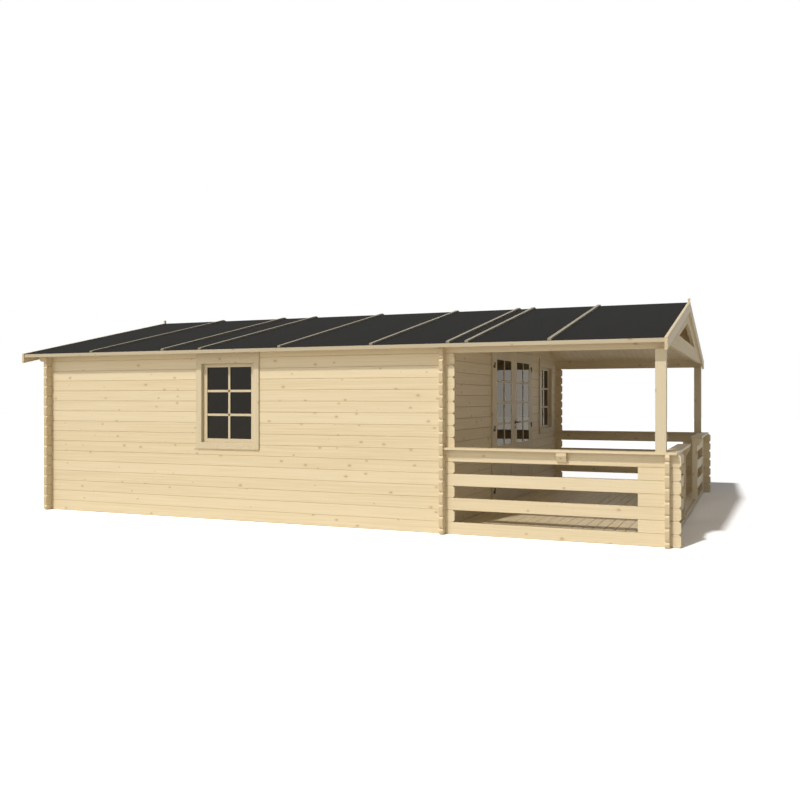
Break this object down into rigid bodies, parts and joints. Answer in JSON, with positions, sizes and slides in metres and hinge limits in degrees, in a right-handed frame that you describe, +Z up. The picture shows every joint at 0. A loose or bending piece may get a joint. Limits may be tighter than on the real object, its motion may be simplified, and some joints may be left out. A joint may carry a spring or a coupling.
{
  "type": "garden shed",
  "caption": "Log cabin garden shed with interlocking log walls, a low felted gable roof, glazed double doors and a railed veranda.",
  "frame": {"origin": "on the ground under the centre of the whole building", "axes": "+X from the rear gable to the veranda front, +Y across the width to the far side, +Z up"},
  "size_m": [8.59, 6.134, 2.8402],
  "materials": {
    "spruce": "planed untreated softwood with small knots",
    "floor_boards": "planed softwood boards",
    "roof_boards": "planed softwood boards",
    "bearers": "sawn treated softwood",
    "roof_felt": "mineral surfaced bitumen felt, matt",
    "window_glass": "clear flat glass",
    "black_fittings": "satin black powder coat"
  },
  "bodies": {
    "cabin": {"cabin_floor": "floor_boards", "door_frame": "spruce", "door_sill_log": "spruce", "eave_fascias": "spruce", "entry_posts": "spruce", "far_roof_boards": "roof_boards", "far_roof_felt": "roof_felt", "far_side_rail_logs": "spruce", "far_side_wall": "spruce", "far_wall_plate": "spruce", "felt_battens": "spruce", "floor_bearers": "floor_boards", "frame_hinges": "black_fittings", "front_barge_boards": "spruce", "front_corner_logs": "spruce", "front_gable": "spruce", "front_handrails": "spruce", "front_rail_logs": "spruce", "front_truss": "spruce", "front_wall_far": "spruce", "front_wall_near": "spruce", "handrail_brackets": "spruce", "near_roof_boards": "roof_boards", "near_roof_felt": "roof_felt", "near_side_rail_logs": "spruce", "near_side_wall": "spruce", "near_wall_plate": "spruce", "purlins": "spruce", "rear_barge_boards": "spruce", "rear_gable_wall": "spruce", "side_corner_logs": "spruce", "side_handrails": "spruce", "threshold_log": "spruce", "veranda_floor": "floor_boards", "veranda_posts": "spruce", "window_frames": "spruce", "window_glass": "window_glass", "window_sashes": "spruce"},
    "near_door_leaf": {"near_door_glass": "window_glass", "near_door_hinges": "black_fittings", "near_door_leaf": "spruce"},
    "far_door_leaf": {"door_handle": "black_fittings", "far_door_glass": "window_glass", "far_door_hinges": "black_fittings", "far_door_leaf": "spruce"}
  },
  "joints": [
    {"name": "near_door_swing", "type": "hinge", "parent": "cabin", "child": "near_door_leaf", "pos_m": [1.8025, -0.9975, 1.12], "axis": [0, 0, -1], "range_deg": [0, 165]},
    {"name": "far_door_swing", "type": "hinge", "parent": "cabin", "child": "far_door_leaf", "pos_m": [1.8025, 0.9975, 1.12], "axis": [0, 0, 1], "range_deg": [0, 165]}
  ]
}
